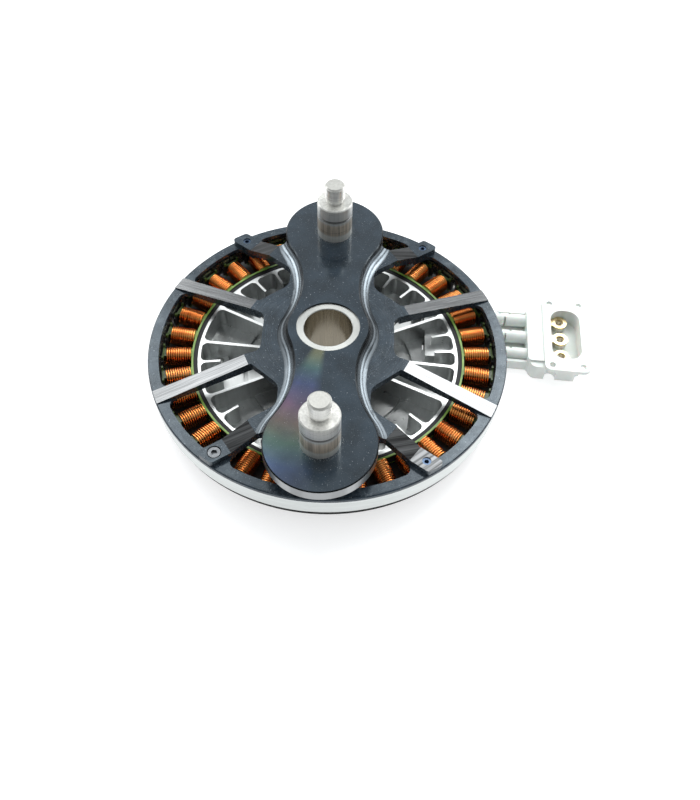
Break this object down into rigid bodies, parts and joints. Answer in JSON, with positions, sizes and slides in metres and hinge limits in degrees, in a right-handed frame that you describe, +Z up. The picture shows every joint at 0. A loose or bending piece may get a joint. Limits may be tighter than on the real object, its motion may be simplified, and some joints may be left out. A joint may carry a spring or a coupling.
{
  "type": "brushless outrunner motor",
  "caption": "Flat outrunner motor with a spoked rotor bell, a raised bar with two blade pins, wound stator, hollow shaft and a flanged phase connector on short leads.",
  "frame": {"origin": "on the motor axis, in the plane of the base that the motor stands on", "axes": "+Z up along the motor axis, +Y along the blade bar, +X towards the phase connector"},
  "size_m": [0.2188, 0.18, 0.0673],
  "materials": {
    "black_anodised": "satin black anodised",
    "bright_steel": "polished",
    "ring_steel": "turned and plated",
    "nickel": "nickel plated magnets",
    "shaft_steel": "ground",
    "spring_steel": "phosphated",
    "pin_steel": "turned stainless",
    "race_steel": "ground bearing steel",
    "cage_brass": "satin",
    "lamination": "black coated silicon steel",
    "green_insulation": "moulded insulation",
    "copper": "enamelled copper wire",
    "machined_aluminium": "bright machined",
    "black_board": "black glass-fibre board",
    "black_rubber": "moulded",
    "white_plastic": "moulded nylon",
    "gold_plate": "gold plated",
    "lead_silicone": "silicone covered"
  },
  "bodies": {
    "stator": {"stator_carrier": "machined_aluminium", "winding_cover": "black_board", "stator_core": "lamination", "insulation_top": "green_insulation", "insulation_bottom": "green_insulation", "coils": "copper", "outer_race_lower": "race_steel", "outer_race_upper": "race_steel", "lead_grommets": "black_rubber", "lead_front": "lead_silicone", "lead_middle": "lead_silicone", "lead_rear": "lead_silicone", "connector_boots": "white_plastic", "connector_housing": "white_plastic", "ring_terminals": "gold_plate", "terminal_posts": "gold_plate"},
    "rotor": {"rotor_bell": "black_anodised", "bell_cap_screw": "bright_steel", "bell_set_screws": "bright_steel", "flux_ring": "ring_steel", "magnets": "nickel", "hollow_shaft": "shaft_steel", "shaft_circlip": "spring_steel", "blade_pin_front": "pin_steel", "blade_pin_rear": "pin_steel", "pin_nuts": "bright_steel", "inner_race_lower": "race_steel", "inner_race_upper": "race_steel"},
    "balls_lower": {"bearing_balls_lower": "race_steel", "ball_cage_lower": "cage_brass"},
    "balls_upper": {"bearing_balls_upper": "race_steel", "ball_cage_upper": "cage_brass"}
  },
  "joints": [
    {"name": "rotor_spin", "type": "hinge", "parent": "stator", "child": "rotor", "pos_m": [0, 0, 0.022], "axis": [0, 0, 1], "continuous": true},
    {"name": "lower_balls_roll", "type": "hinge", "parent": "stator", "child": "balls_lower", "pos_m": [0, 0, 0.0065], "axis": [0, 0, 1], "continuous": true},
    {"name": "upper_balls_roll", "type": "hinge", "parent": "stator", "child": "balls_upper", "pos_m": [0, 0, 0.022], "axis": [0, 0, 1], "continuous": true}
  ],
  "couplings": [
    {"joint": "lower_balls_roll", "follows": "rotor_spin", "ratio": 0.447},
    {"joint": "upper_balls_roll", "follows": "rotor_spin", "ratio": 0.447}
  ]
}
